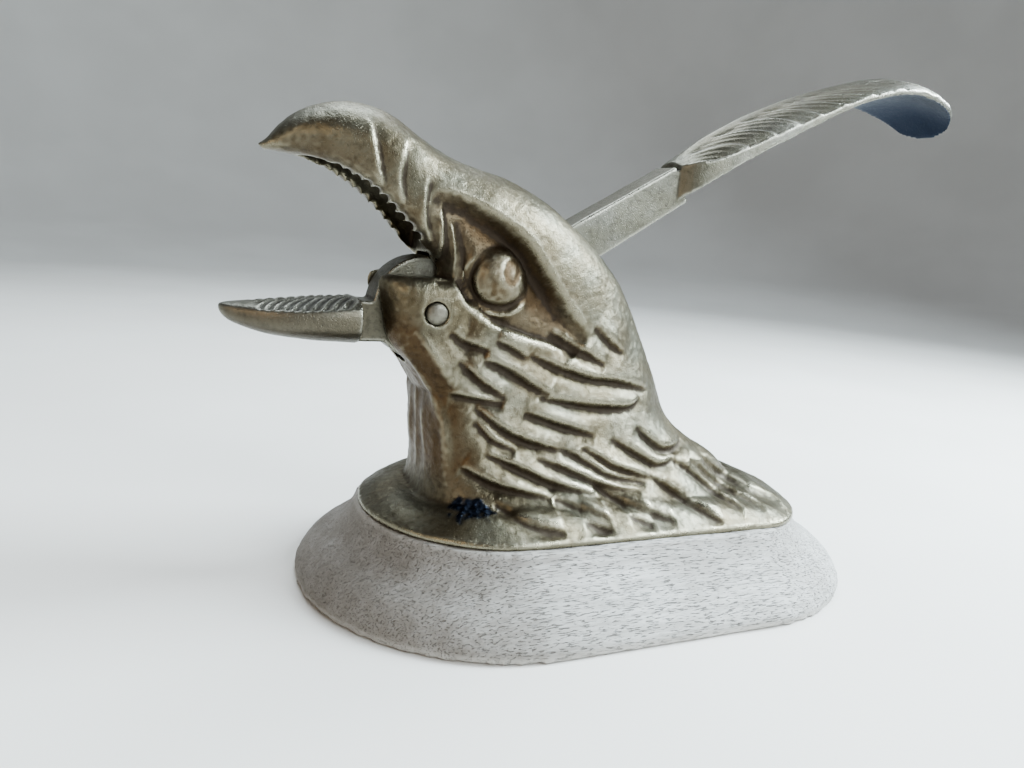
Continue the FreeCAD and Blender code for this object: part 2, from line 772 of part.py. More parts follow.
def make_screw(name, x, y):
    """A slotted pan-head screw, head down, from the recess up into its rib."""
    body = new_body(f"base_screw_{name}")
    top = "base_height + screw_grip"
    seat = "counterbore_depth - washer_height"
    head = "screw_head_diameter / 2"
    shank = "screw_diameter / 2"
    profile = new_sketch(body, f"screw_half_{name}", "XZ_Plane")
    outline(profile, [
        ("0", f"{seat} - screw_head_height", None),
        (f"0.7 * {head}", f"{seat} - screw_head_height", None),
        (head, f"{seat} - 0.6 * screw_head_height", None),
        (head, seat, None),
        (shank, seat, None),
        (shank, f"{top} - {shank}", None),
        (f"0.4 * {shank}", top, None),
        ("0", top, None),
    ])
    turned = body.newObject("PartDesign::Revolution", f"screw_turned_{name}")
    turned.Profile = profile
    turned.ReferenceAxis = (profile, ["V_Axis"])
    turned.Angle = 360
    doc.recompute()
    volume = body.Shape.Volume
    slot = new_sketch(body, f"driver_slot_plan_{name}", "XZ_Plane")
    low = f"{seat} - screw_head_height"
    outline(slot, [
        ("-screw_slot / 2", f"{low} - 1", None),
        ("screw_slot / 2", f"{low} - 1", None),
        ("screw_slot / 2", f"{low} + screw_slot", None),
        ("-screw_slot / 2", f"{low} + screw_slot", None),
    ])
    pocket = body.newObject("PartDesign::Pocket", f"driver_slot_{name}")
    pocket.Profile = slot
    pocket.SideType = "Symmetric"
    bind(pocket, "Length", "2 * screw_head_diameter")
    doc.recompute()
    if not body.Shape.Volume < volume:
        raise RuntimeError("the driver slot cut nothing")
    place(body, x, y, "0")
    return body


def make_washer(name, x, y):
    """A flat washer between a screw's head and the wood."""
    body = new_body(f"screw_washer_{name}")
    low = "counterbore_depth - washer_height"
    profile = new_sketch(body, f"washer_half_{name}", "XZ_Plane")
    outline(profile, [
        ("screw_diameter / 2 + washer_fit", low, None),
        ("washer_diameter / 2", low, None),
        ("washer_diameter / 2", "counterbore_depth", None),
        ("screw_diameter / 2 + washer_fit", "counterbore_depth", None),
    ])
    turned = body.newObject("PartDesign::Revolution", f"washer_turned_{name}")
    turned.Profile = profile
    turned.ReferenceAxis = (profile, ["V_Axis"])
    turned.Angle = 360
    place(body, x, y, "0")
    return body


# --------------------------------------------------------------------- build all

parts = [make_base(), make_eagle(), make_lever(), make_pin()]
for position, (screw_x, screw_y) in SCREWS.items():
    parts.append(make_screw(position, screw_x, screw_y))
    parts.append(make_washer(position, screw_x, screw_y))
doc.recompute()

for item in doc.Objects:
    if {"Invalid", "Error"} & set(item.State):
        raise RuntimeError(f"{item.Name} did not build: {item.State}")
for part in parts:
    if part.Shape.isNull() or not part.Shape.isValid():
        raise RuntimeError(f"{part.Label} is not a valid shape")
    box = part.Shape.BoundBox
    print(f"{part.Label}: {len(part.Shape.Solids)} solid, {part.Shape.Volume / 1000:.1f} cm3,"
          f" x {box.XMin:.1f}..{box.XMax:.1f} y {box.YMin:.1f}..{box.YMax:.1f}"
          f" z {box.ZMin:.1f}..{box.ZMax:.1f}")
    part.Shape.exportStep(f"parts/{part.Label}.step")
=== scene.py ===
import math

import bpy
import numpy as np
from mathutils import Matrix, Vector
from mathutils import noise as mathnoise
from mathutils.kdtree import KDTree


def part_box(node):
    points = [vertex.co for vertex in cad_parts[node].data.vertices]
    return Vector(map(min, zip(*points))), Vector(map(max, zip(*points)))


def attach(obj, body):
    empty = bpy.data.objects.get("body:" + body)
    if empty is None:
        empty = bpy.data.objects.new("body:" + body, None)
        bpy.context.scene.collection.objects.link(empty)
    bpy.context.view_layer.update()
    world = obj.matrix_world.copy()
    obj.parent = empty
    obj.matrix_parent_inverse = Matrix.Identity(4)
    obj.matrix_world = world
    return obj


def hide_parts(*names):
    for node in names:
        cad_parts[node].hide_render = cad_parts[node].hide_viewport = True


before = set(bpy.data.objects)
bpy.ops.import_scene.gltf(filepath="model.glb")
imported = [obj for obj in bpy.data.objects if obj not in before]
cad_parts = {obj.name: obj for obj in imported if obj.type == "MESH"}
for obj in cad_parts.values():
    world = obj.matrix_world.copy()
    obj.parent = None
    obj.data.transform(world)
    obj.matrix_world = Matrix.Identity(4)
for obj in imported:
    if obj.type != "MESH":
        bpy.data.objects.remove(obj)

MM = 0.001
scene = bpy.context.scene
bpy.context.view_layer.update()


# ---------------------------------------------------------------- camera, light, floor

CAMERA_PLACE = Vector((-122.9, -201.5, 100.6)) * MM
CAMERA_YAW = math.radians(25.02)
CAMERA_PITCH = math.radians(11.19)
CAMERA_ROLL = math.radians(5.43)
CAMERA_LENS = 27.07
CAMERA_SENSOR = 36
LAMPS_FACE = Vector((-0.02, 0, 0.06))
WORLD_COLOUR = (0.86, 0.9, 1.0, 1)
WORLD_STRENGTH = 0.15


def make_camera():
    """A hand-held view from the front left, a little above the object."""
    forward = Vector((
        math.cos(CAMERA_PITCH) * math.sin(CAMERA_YAW),
        math.cos(CAMERA_PITCH) * math.cos(CAMERA_YAW),
        -math.sin(CAMERA_PITCH),
    ))
    level_right = Vector((math.cos(CAMERA_YAW), -math.sin(CAMERA_YAW), 0))
    level_up = level_right.cross(forward)
    right = level_right * math.cos(CAMERA_ROLL) + level_up * math.sin(CAMERA_ROLL)
    up = right.cross(forward)
    turn = Matrix((right, up, -forward)).transposed()
    data = bpy.data.cameras.new("view_camera")
    data.sensor_width = CAMERA_SENSOR
    data.lens = CAMERA_LENS
    data.clip_start = 0.01
    camera = bpy.data.objects.new("view_camera", data)
    camera.matrix_world = Matrix.Translation(CAMERA_PLACE) @ turn.to_4x4()
    scene.collection.objects.link(camera)
    scene.camera = camera


def make_light(name, place, width, height, power, colour):
    """A soft rectangular lamp that faces the middle of the head."""
    data = bpy.data.lights.new(name, "AREA")
    data.shape = "RECTANGLE"
    data.size = width
    data.size_y = height
    data.energy = power
    data.color = colour
    lamp = bpy.data.objects.new(name, data)
    place = Vector(place)
    lamp.location = place
    aim = LAMPS_FACE - place
    lamp.rotation_mode = "QUATERNION"
    lamp.rotation_quaternion = aim.to_track_quat("-Z", "Y")
    scene.collection.objects.link(lamp)


def make_floor():
    """A plain pale floor that curves up into a wall far behind the object on every side."""
    rings = [(0.5, 0.0), (1.1, 0.0), (1.45, 0.05), (1.7, 0.22), (1.85, 0.55), (1.9, 1.2)]
    turns = 64
    points = [(0, 0, 0)]
    faces = []
    for ring, (radius, height) in enumerate(rings):
        for turn in range(turns):
            angle = 2 * math.pi * turn / turns
            points.append((radius * math.cos(angle), radius * math.sin(angle), height))
            after = (turn + 1) % turns
            here = 1 + ring * turns
            if ring == 0:
                faces.append((0, here + turn, here + after))
            else:
                below = here - turns
                faces.append((below + turn, here + turn, here + after, below + after))
    mesh = bpy.data.meshes.new("studio_floor")
    mesh.from_pydata(points, [], faces)
    mesh.shade_smooth()
    floor = bpy.data.objects.new("studio_floor", mesh)
    scene.collection.objects.link(floor)
    floor.data.materials.append(floor_paint())


def make_world():
    world = bpy.data.worlds.new("studio_world")
    scene.world = world
    world.use_nodes = True
    sky = world.node_tree.nodes["Background"]
    sky.inputs["Color"].default_value = WORLD_COLOUR
    sky.inputs["Strength"].default_value = WORLD_STRENGTH


# ---------------------------------------------------------------- material helpers

class Paint:
    """A material's node tree, with one short method for each kind of node it uses."""

    def __init__(self, name):
        self.material = bpy.data.materials.new(name)
        self.material.use_nodes = True
        self.tree = self.material.node_tree
        self.shader = self.tree.nodes["Principled BSDF"]
        self.place = self.add("ShaderNodeTexCoord").outputs["Object"]

    def add(self, kind):
        return self.tree.nodes.new(kind)

    def join(self, source, socket):
        """Links a node's output to a socket, or sets a plain value."""
        if isinstance(source, bpy.types.NodeSocket):
            self.tree.links.new(source, socket)
        elif isinstance(source, tuple) and len(source) == 3 and socket.type == "RGBA":
            socket.default_value = (*source, 1)
        else:
            socket.default_value = source

    def noise(self, scale, detail=3.0, rough=0.55, stretch=(1, 1, 1)):
        """Noise whose grains are 1/scale metres across, longer where stretch is small."""
        mapping = self.add("ShaderNodeMapping")
        mapping.inputs["Scale"].default_value = [scale * share for share in stretch]
        self.join(self.place, mapping.inputs["Vector"])
        node = self.add("ShaderNodeTexNoise")
        node.inputs["Scale"].default_value = 1.0
        node.inputs["Detail"].default_value = detail
        node.inputs["Roughness"].default_value = rough
        self.join(mapping.outputs["Vector"], node.inputs["Vector"])
        return node.outputs["Fac"]

    def cells(self, scale, stretch=(1, 1, 1)):
        """Distance to the nearest of many scattered points, for pits."""
        mapping = self.add("ShaderNodeMapping")
        mapping.inputs["Scale"].default_value = [scale * share for share in stretch]
        self.join(self.place, mapping.inputs["Vector"])
        node = self.add("ShaderNodeTexVoronoi")
        node.inputs["Scale"].default_value = 1.0
        self.join(mapping.outputs["Vector"], node.inputs["Vector"])
        return node.outputs["Distance"]

    def mask(self, name):
        """A number that the mesh carries at each point."""
        node = self.add("ShaderNodeAttribute")
        node.attribute_name = name
        return node.outputs["Fac"]

    def between(self, value, low, high):
        """0 below low, 1 above high, smooth between."""
        node = self.add("ShaderNodeMapRange")
        node.interpolation_type = "SMOOTHSTEP"
        self.join(value, node.inputs["Value"])
        node.inputs["From Min"].default_value = low
        node.inputs["From Max"].default_value = high
        return node.outputs["Result"]

    def sums(self, kind, first, second):
        node = self.add("ShaderNodeMath")
        node.operation = kind
        self.join(first, node.inputs[0])
        self.join(second, node.inputs[1])
        return node.outputs[0]

    def mix(self, share, first, second):
        """A colour between two colours."""
        node = self.add("ShaderNodeMix")
        node.data_type = "RGBA"
        sockets = [socket for socket in node.inputs if socket.enabled]
        self.join(share, sockets[0])
        self.join(first, sockets[1])
        self.join(second, sockets[2])
        return [socket for socket in node.outputs if socket.enabled][0]

    def number(self, share, first, second):
        """A number between two numbers."""
        node = self.add("ShaderNodeMapRange")
        self.join(share, node.inputs["Value"])
        node.inputs["To Min"].default_value = first
        node.inputs["To Max"].default_value = second
        return node.outputs["Result"]

    def bump(self, height, depth, under=None):
        """Adds fine relief of that depth in metres."""
        node = self.add("ShaderNodeBump")
        node.inputs["Distance"].default_value = depth
        self.join(height, node.inputs["Height"])
        if under is not None:
            self.join(under, node.inputs["Normal"])
        return node.outputs["Normal"]

    def finish(self, colour, roughness, metallic=0.0, normal=None):
        self.join(colour, self.shader.inputs["Base Color"])
        self.join(roughness, self.shader.inputs["Roughness"])
        self.join(metallic, self.shader.inputs["Metallic"])
        if normal is not None:
            self.join(normal, self.shader.inputs["Normal"])
        return self.material


def floor_paint():
    paint = Paint("floor_paint")
    cloudy = paint.noise(6, 2)
    colour = paint.mix(paint.between(cloudy, 0.3, 0.7), (0.70, 0.68, 0.65), (0.74, 0.72, 0.69))
    return paint.finish(colour, 0.75)


# Blue-black: the real crust at the foot of the casting's throat, and painted shade under the lever's feather
# tip.
CRUST_AND_SHADE_COLOUR = (0.012, 0.017, 0.03)


def cast_brass(name, dark, brown, middle, light, grey):
    """Old cast brass: hollows darkened as painted shade, brown patina that also carries painted shade,
    rubbed paler crests, blue-black crust that also serves as painted shade, fine pits.
    """
    paint = Paint(name)
    broad = paint.noise(70, 4)
    fine = paint.noise(600, 4)
    grain = paint.noise(2200, 3, 0.6)
    pits = paint.cells(1500)
    # Painted shade: hollows found by curvature are darkened, and also made rougher and less metallic.
    hollow_shade = paint.between(paint.mask("hollow_shade"), 0.08, 0.75)
    crest = paint.between(paint.mask("crest"), 0.1, 0.8)
    # Brown patina that mostly carries painted shade: parts that lie in shade are mixed towards brown.
    patina_and_shade = paint.mask("patina_and_shade")
    body = paint.mix(paint.between(broad, 0.35, 0.68), middle, grey)
    body = paint.mix(paint.sums("MULTIPLY", patina_and_shade, 0.85), body, brown)
    specks = paint.sums("MULTIPLY", paint.between(fine, 0.45, 0.75), 0.45)
    speckled = paint.mix(specks, body, dark)
    rubbed = paint.mix(paint.sums("MULTIPLY", crest, paint.number(fine, 0.3, 0.7)), speckled, light)
    # Hollows mixed towards the dark colour as painted shade.
    colour = paint.mix(paint.sums("MULTIPLY", hollow_shade, 0.85), rubbed, dark)
    colour = paint.mix(paint.mask("crust_and_shade"), colour, CRUST_AND_SHADE_COLOUR)
    worn = paint.sums("MULTIPLY", crest, 0.12)
    roughness = paint.sums("SUBTRACT", paint.number(fine, 0.3, 0.5), worn)
    roughness = paint.sums("ADD", roughness, paint.sums("MULTIPLY", hollow_shade, 0.2))
    metallic = paint.number(hollow_shade, 0.92, 0.6)
    relief = paint.bump(grain, 0.00012)
    relief = paint.bump(paint.between(pits, 0.05, 0.3), 0.00007, relief)
    return paint.finish(colour, roughness, metallic, relief)


# ---------------------------------------------------------------- sculpting helpers
# Lengths here are millimetres. Side-view points are (x, z), and both sides of the head match.

def fade(low, high, values):
    """0 at low, 1 at high, smooth between; low may be above high."""
    share = np.clip((values - low) / (high - low), 0, 1)
    return share * share * (3 - 2 * share)


def smooth_line(points, pieces=8):
    """Points along a smooth curve through a few given points."""
    given = np.array(points, float)
    ends = np.vstack([2 * given[0] - given[1], given, 2 * given[-1] - given[-2]])
    made = []
    for i in range(1, len(ends) - 2):
        before, start, stop, after = ends[i - 1:i + 3]
        for t in np.arange(pieces) / pieces:
            made.append(0.5 * (
                2 * start + (stop - before) * t
                + (2 * before - 5 * start + 4 * stop - after) * t ** 2
                + (3 * start - 3 * stop + after - before) * t ** 3
            ))
    made.append(given[-1])
    return np.array(made)


def along(spots, line):
    """Each spot's distance from a line, its side (positive on the left), and its share along it."""
    steps = np.diff(line, axis=0)
    lengths = np.linalg.norm(steps, axis=1)
    starts = np.concatenate([[0], np.cumsum(lengths)])
    near = np.full(len(spots), 1e9)
    side = np.zeros(len(spots))
    share = np.zeros(len(spots))
    for i, (step, length) in enumerate(zip(steps, lengths)):
        offset = spots - line[i]
        t = np.clip(offset @ step / length ** 2, 0, 1)
        gap = offset - t[:, None] * step
        distance = np.linalg.norm(gap, axis=1)
        closer = distance < near
        near[closer] = distance[closer]
        share[closer] = ((starts[i] + t * length) / starts[-1])[closer]
        if line.shape[1] == 2:
            cross = step[0] * offset[:, 1] - step[1] * offset[:, 0]
            side[closer] = np.sign(cross)[closer]
    return near, side, share


class Clay:
    """A CAD node's surface as an even mesh that can be pushed in and out."""

    def __init__(self, node, name, grain, rounds):
        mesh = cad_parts[node].data.copy()
        mesh.materials.clear()
        self.piece = bpy.data.objects.new(name, mesh)
        scene.collection.objects.link(self.piece)
        remesh = self.piece.modifiers.new("even", "REMESH")
        remesh.mode = "VOXEL"
        remesh.voxel_size = grain * MM
        relax = self.piece.modifiers.new("relax", "SMOOTH")
        relax.factor = 0.5
        relax.iterations = rounds
        made = bpy.data.meshes.new_from_object(
            self.piece.evaluated_get(bpy.context.evaluated_depsgraph_get()))
        self.piece.modifiers.clear()
        self.piece.data = made
        made.name = name
        self.mesh = made
        self.count = len(made.vertices)
        flat = np.zeros(self.count * 3)
        made.vertices.foreach_get("co", flat)
        self.at = flat.reshape(-1, 3) / MM
        edges = np.zeros(len(made.edges) * 2, int)
        made.edges.foreach_get("vertices", edges)
        self.edges = edges.reshape(-1, 2)
        self.patina_and_shade = np.zeros(self.count)
        self.update()

    def update(self):
        """Writes the points to the mesh and reads its normals."""
        self.mesh.vertices.foreach_set("co", (self.at * MM).ravel())
        self.mesh.update()
        flat = np.zeros(self.count * 3)
        self.mesh.vertex_normals.foreach_get("vector", flat)
        self.normal = flat.reshape(-1, 3)
        self.rise = np.zeros(self.count)

    def push(self):
        """Moves each point along its normal by the rise collected so far."""
        self.at += self.normal * self.rise[:, None]
        self.update()

    def averaged(self, values, rounds=1):
        """Values with each point's replaced by its neighbours' mean."""
        start, stop = self.edges[:, 0], self.edges[:, 1]
        number = np.bincount(start, minlength=self.count) + np.bincount(stop, minlength=self.count)
        for _ in range(rounds):
            total = np.bincount(start, values[stop], self.count)
            total += np.bincount(stop, values[start], self.count)
            values = total / np.maximum(number, 1)
        return values

    def soften(self, where, rounds, factor=0.5):
        """Relaxes the surface where the mask is above 0."""
        for _ in range(rounds):
            mean = np.stack([self.averaged(self.at[:, axis]) for axis in range(3)], 1)
            self.at += (mean - self.at) * (factor * where)[:, None]
        self.update()

    def curvature(self, rounds):
        """How far each point stands out of (+) or lies below (-) its surroundings."""
        mean = np.stack([self.averaged(self.at[:, axis], rounds) for axis in range(3)], 1)
        return ((self.at - mean) * self.normal).sum(1)

    def fill(self, where, passes):
        """Rounds out inside corners where the mask is above 0, and leaves outside edges."""
        for _ in range(passes):
            inside = fade(0.01, 0.12, -self.curvature(14))
            self.soften(inside * where, 14, 0.9)

    def carry(self, name, values):
        """Stores a 0 to 1 number at each point for the material."""
        attribute = self.mesh.attributes.new(name, "FLOAT", "POINT")
        attribute.data.foreach_set("value", np.clip(values, 0, 1).astype(np.float32))

    def wear_masks(self):
        """Stores the painted shade of hollows and the rubbed crests, from fine and broad curvature, and the
        patina with its painted shade.
        """
        fine = self.curvature(3)
        broad = self.curvature(24)
        self.carry("hollow_shade", -fine * 4.0 - broad * 0.4)
        self.carry("crest", fine * 4.0 + broad * 0.5)
        self.carry("patina_and_shade", self.patina_and_shade)

    def done(self, material, body, slot, *nodes):
        self.mesh.materials.append(material)
        self.mesh.shade_smooth()
        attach(self.piece, body)
        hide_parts(*nodes)


def roughened(clay, size, amount, seed):
    """Gentle unevenness of a cast or worn surface."""
    offset = Vector((seed * 7.3, seed * 3.1, seed * 5.7))
    return amount * np.array([
        mathnoise.noise(Vector(point) / size + offset) for point in clay.at
    ])


PIVOT = (-58.8, 78.1)


def from_pivot(clay):
    """Each point's side-view distance from the lever's axis."""
    return np.hypot(clay.at[:, 0] - PIVOT[0], clay.at[:, 2] - PIVOT[1])


# ---------------------------------------------------------------- the eagle casting

CASTING_GRAIN = 0.55
NECK_MIDDLE_X = -10
EDGE_TURN = 0.5


def side_line(clay, outside, points, margin):
    """The outside points near a side-view line, their signed distance from it, and a taper."""
    line = smooth_line(points)
    low, high = line.min(0) - margin, line.max(0) + margin
    spots = clay.at[:, [0, 2]]
    chosen = np.flatnonzero(((spots > low) & (spots < high)).all(1) & (outside > 0))
    near, side, share = along(spots[chosen], line)
    taper = np.sin(np.pi * np.clip(share, 0, 1))
    return chosen, near * side, taper


def overlap(clay, outside, points, rise, cut, above, below, turn=EDGE_TURN, ends=0.6):
    """A raised edge on the left of a side-view line, and a drop on its right."""
    chosen, signed, taper = side_line(clay, outside, points, 3 * max(above, below))
    lifted = rise * np.exp(-np.maximum(signed, 0) / above)
    sunk = -cut * np.exp(np.minimum(signed, 0) / below)
    over = fade(-turn, turn, signed)
    clay.rise[chosen] += (lifted * over + sunk * (1 - over)) * taper ** ends * outside[chosen]


def feather_tip(clay, outside, points, rise, cut, above, below):
    """A rounded feather edge on the left of a side-view line, with a soft groove on its right."""
    chosen, signed, taper = side_line(clay, outside, points, 5 * above)
    crest = np.maximum(signed, 0) / above
    groove = np.maximum(-signed, 0) / below
    shape = rise * crest * np.exp(1 - crest) - cut * groove * np.exp(1 - groove)
    clay.rise[chosen] += shape * taper ** 0.45 * outside[chosen]


def ridge(clay, points, height, width, ends=0.5):
    """A rounded ridge (or groove, if height is negative) along points in space, on both sides."""
    line = smooth_line(points)
    spots = np.column_stack([clay.at[:, 0], np.abs(clay.at[:, 1]), clay.at[:, 2]])
    low, high = line.min(0) - 3 * width, line.max(0) + 3 * width
    chosen = np.flatnonzero(((spots > low) & (spots < high)).all(1))
    near, _, share = along(spots[chosen], line)
    strength = np.sin(np.pi * np.clip(share, 0, 1)) ** ends
    clay.rise[chosen] += height * np.exp(-(near / width) ** 2) * strength


EYE = (-42, 88)
EYE_RADIUS = 7.4


def shape_face(clay, outside):
    """Brow, eye socket, cheek edge and eyeball."""
    brow = [(-62, 107.5), (-54, 106), (-46, 102.5), (-38, 98), (-31, 90), (-23, 80.5), (-15, 73)]
    overlap(clay, outside, brow,
            rise=1.0, cut=7.6, above=9, below=9, turn=2.8, ends=0.5)
    cheek_edge = [(-22, 71), (-33, 73), (-42, 76), (-49, 80), (-53, 86), (-54.5, 94), (-56, 102)]
    overlap(clay, outside, cheek_edge,
            rise=1.3, cut=2.6, above=3.0, below=3.5, turn=0.9, ends=0.4)
    # Painted shade: the socket sunk under the brow is darkened by its depth.
    clay.patina_and_shade = np.clip(-clay.rise / 4.5, 0, 1)
    clay.push()
    spots = clay.at[:, [0, 2]]
    reach = np.linalg.norm(spots - np.array(EYE), axis=1) / EYE_RADIUS
    ball = np.clip(1 - (reach / 1.15) ** 2, 0, 1)
    clay.rise += 3.4 * ball * outside
    # Painted shade: the eyeball and its rim in the socket are darkened.
    clay.patina_and_shade = np.maximum(clay.patina_and_shade, 0.75 * fade(1.25, 0.9, reach))
    lower_front = fade(-0.35, 0.55, -((spots - np.array(EYE)) @ np.array([0.62, 0.78])) / EYE_RADIUS)
    lid = np.exp(-((reach - 1.25) / 0.17) ** 2)
    clay.rise += 1.0 * lid * lower_front * outside
    crease = np.exp(-((reach - 1.02) / 0.1) ** 2)
    clay.rise -= 1.3 * crease * lower_front * outside
    # Painted shade in the socket's rear corner under the brow.
    corner = fade(9, 2, np.linalg.norm((spots - np.array([-30, 83])) / (1.3, 1), axis=1))
    clay.patina_and_shade = np.maximum(clay.patina_and_shade, corner)
    clay.push()
    reach = np.linalg.norm((clay.at[:, [0, 2]] - np.array([-39.5, 90])) / (3.1, 3.8), axis=1)
    clay.rise -= 0.45 * fade(1.1, 0.7, reach) * outside
    clay.patina_and_shade = np.maximum(clay.patina_and_shade, 0.95 * fade(1.2, 0.8, reach))
    clay.push()


def shape_beak(clay, outside):
    """Three overlapping folds at the beak's root and a thin ridge at the mouth's corner."""
    overlap(clay, outside, [(-74, 108), (-76, 115), (-77.8, 124)], 0.8, 1.1, 2.5, 2.0)
    overlap(clay, outside, [(-68.5, 104.5), (-70.2, 110), (-69.6, 115), (-68.6, 120)], 0.8, 1.1, 2.2, 2.2)
    overlap(clay, outside, [(-60, 95), (-63, 101), (-63.6, 107), (-63, 112)], 0.8, 1.1, 2.2, 2.0)
    overlap(clay, outside, [(-59.5, 85), (-57.6, 92), (-58.4, 99), (-59, 106)], 1.5, 1.2, 1.2, 2.5)


FEATHER_EDGES = (
    ((-13, 77), (-7, 72.5), (-2, 69.5)),
    ((-26, 75), (-18, 70.5), (-9, 66.5)),
    ((-42.5, 72.3), (-37.5, 70), (-33, 67.6)),
    ((-33, 69), (-25, 65.8), (-14, 62.6), (-4, 61.3), (9, 58.5)),
    ((-45.5, 67), (-38, 64), (-32, 60.7), (-26, 58)),
    ((-51.5, 66.5), (-46, 61), (-38.5, 56.8)),
    ((-53.5, 57.2), (-46.5, 56.2), (-39.5, 55.6)),
    ((-54.5, 74), (-50.5, 71.2), (-44, 69.4)),
    ((-29, 57.4), (-19.5, 55.5), (-9.5, 54.2), (1, 53.9), (5.5, 56.5)),
    ((-47, 54.5), (-38.5, 47.8), (-31, 44.8), (-22, 42.7)),
    ((-33.5, 53), (-22, 49.4), (-11, 46.5)),
    ((-46.5, 50.5), (-42, 45.7), (-35.5, 43)),
    ((4, 48.5), (9.5, 43.8), (15, 41.4), (25, 42.2)),
    ((-5.5, 45.6), (4, 40.4), (11.5, 37.6), (18.5, 39)),
    ((-15.5, 43.6), (-9, 39.8), (-4, 37.2), (7.5, 34.4)),
    ((-22, 43.3), (-12.5, 38.7), (-6, 35.4), (5, 33.6)),
    ((-44, 42.2), (-34, 37.8), (-25.5, 34.4), (-11, 31)),
    ((-29.5, 41), (-19, 37), (-8.5, 33.3), (2, 31.5)),
    ((-50, 37.6), (-42.5, 34.3), (-37, 32.8), (-26, 31)),
    ((-12, 34), (-1.5, 29), (10, 25.6)),
    ((-25, 31), (-17.5, 28.9), (-10.5, 26.8)),
    ((-18.5, 27), (-11, 24.2)),
    ((-42, 29.6), (-34, 26.8), (-26, 25)),
    ((7.5, 35), (17, 29.5), (26, 24.2)),
    ((18, 38.2), (27, 33.6), (36, 27)),
    ((24, 37.5), (34, 32.5), (45, 26.8)),
    ((31, 37), (42, 31), (55, 26.2)),
    ((-4, 27.5), (3, 25.2)),
)


def shape_feathers(clay, outside):
    """Rows of feather tips that overlap down the neck like tiles."""
    for index, points in enumerate(FEATHER_EDGES):
        length = sum(math.dist(a, b) for a, b in zip(points, points[1:]))
        size = min(1.0, 0.55 + length / 60)
        feather_tip(clay, outside, points, rise=1.0 * size, cut=1.7 * size, above=1.7, below=0.95)


NAPE = ((29.8, 50.6), (41.8, 36), (51.5, 25), (64, 18), (76.4, 10), (94, -4), (105.6, -19))


def slim_nape(clay):
    """Draws in the back of the neck, whose rounded flanks would stand out too far."""
    x, z = clay.at[:, 0], clay.at[:, 2]
    heights, backs = zip(*NAPE)
    inward = np.interp(z, heights, backs) - x
    depth = 2.6 * fade(90, 66, z) + 2.2 * fade(58, 42, z)
    clay.at[:, 0] -= depth * fade(22, 5, inward) * fade(24, 32, z)
    clay.update()


FLANGE_TOP = 23.3


def flare_foot(clay, upward):
    """The neck's foot sweeps out to the rim of the flange in one slope."""
    rim = np.flatnonzero((np.abs(clay.normal[:, 2]) < 0.3) & (clay.at[:, 2] > 21.4) & (clay.at[:, 2] < 22.8))
    tree = KDTree(len(rim))
    for index, vertex in enumerate(rim):
        tree.insert((clay.at[vertex, 0], clay.at[vertex, 1], 0), index)
    tree.balance()
    low = np.flatnonzero((clay.at[:, 2] > 22.6) & (clay.at[:, 2] < 40) & (upward > 0))
    x, y, z = clay.at[low].T
    inset = np.maximum([tree.find((ahead, aside, 0))[2] for ahead, aside in zip(x, y)], 0.6) - 0.6
    behind = fade(25, 50, x)
    steepness = 0.62 * (1 - behind) + 0.38 * behind
    steepness *= 0.55 + 0.45 * fade(-58, -40, x)
    slope = FLANGE_TOP + steepness * inset
    reach = fade(15 + 8 * behind, 6 + 9 * behind, inset)
    gap = slope * reach + FLANGE_TOP * (1 - reach) - z
    lift = 0.5 * (gap + np.sqrt(gap ** 2 + 9))
    clay.at[low, 2] += lift * upward[low] * fade(0, 3.5, inset)
    clay.update()
    clay.soften(fade(23, 24, clay.at[:, 2]) * fade(42, 34, clay.at[:, 2]) * upward, 30, 0.9)


def shape_throat(clay):
    """Long folds down the front of the throat."""
    long_fold = [(-66.5, 10, 69), (-59.5, 10.5, 60), (-55.5, 13, 52), (-54, 15, 44), (-53.5, 16, 31)]
    ridge(clay, long_fold, 1.0, 1.6)
    ridge(clay, [(-64, 14, 74), (-58.5, 15, 67.5), (-52.5, 16, 59)], 0.9, 1.5)
    ridge(clay, [(-61.5, 5.5, 58), (-58.5, 6, 50), (-58, 6.5, 42), (-58.5, 7, 30)], 0.8, 1.8)


def crusted(clay):
    """A dried dark crust in the corner at the foot of the throat, on one side only."""
    reach = np.linalg.norm((clay.at - np.array([-47, -22, 26])) / (6.5, 7, 4.5), axis=1)
    ragged = reach + roughened(clay, 2.2, 0.55, 4)
    crust_and_shade = fade(1.0, 0.75, ragged)
    clay.rise += crust_and_shade * (0.35 + roughened(clay, 1.3, 0.6, 3))
    clay.carry("crust_and_shade", crust_and_shade)


